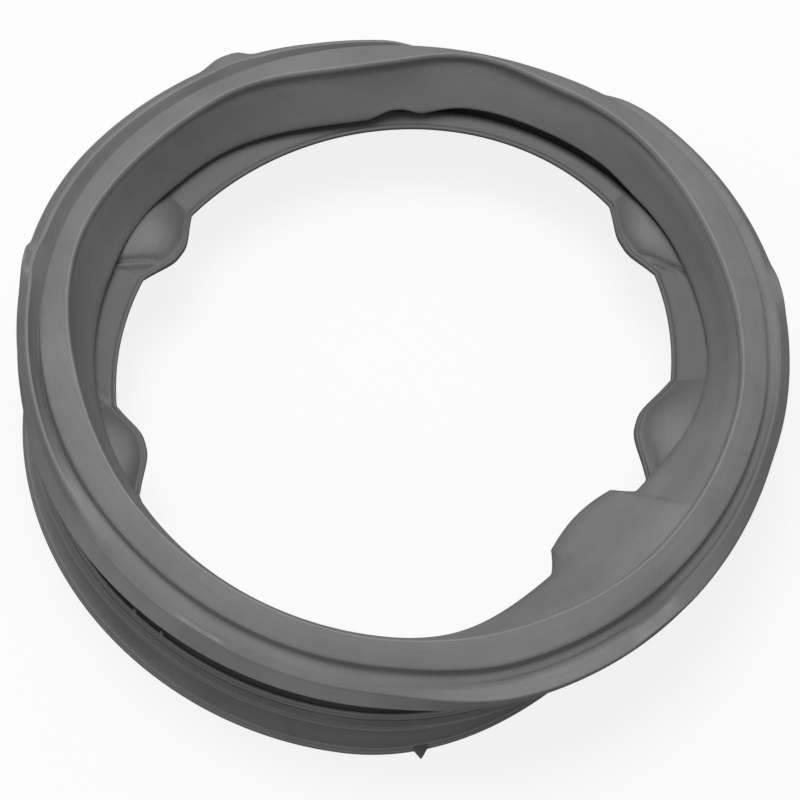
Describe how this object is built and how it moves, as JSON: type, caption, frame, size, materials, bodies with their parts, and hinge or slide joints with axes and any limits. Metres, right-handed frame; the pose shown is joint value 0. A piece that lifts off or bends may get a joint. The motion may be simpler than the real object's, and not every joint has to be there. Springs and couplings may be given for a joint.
{
  "type": "washing machine door seal",
  "caption": "One-piece rubber bellows seal that joins a front-loading washing machine's door opening to its tub, with spray hoods and a wide pad",
  "frame": {"origin": "centre of the bounding box in plan, on the flat underside of the rear rim", "axes": "+Z along the seal's axis from the tub to the door, +X to the right and +Y to the top of the picture"},
  "size_m": [0.4062, 0.3992, 0.0918],
  "materials": {
    "grey_rubber": "satin"
  },
  "bodies": {
    "root": {"door_seal": "grey_rubber"}
  },
  "joints": []
}
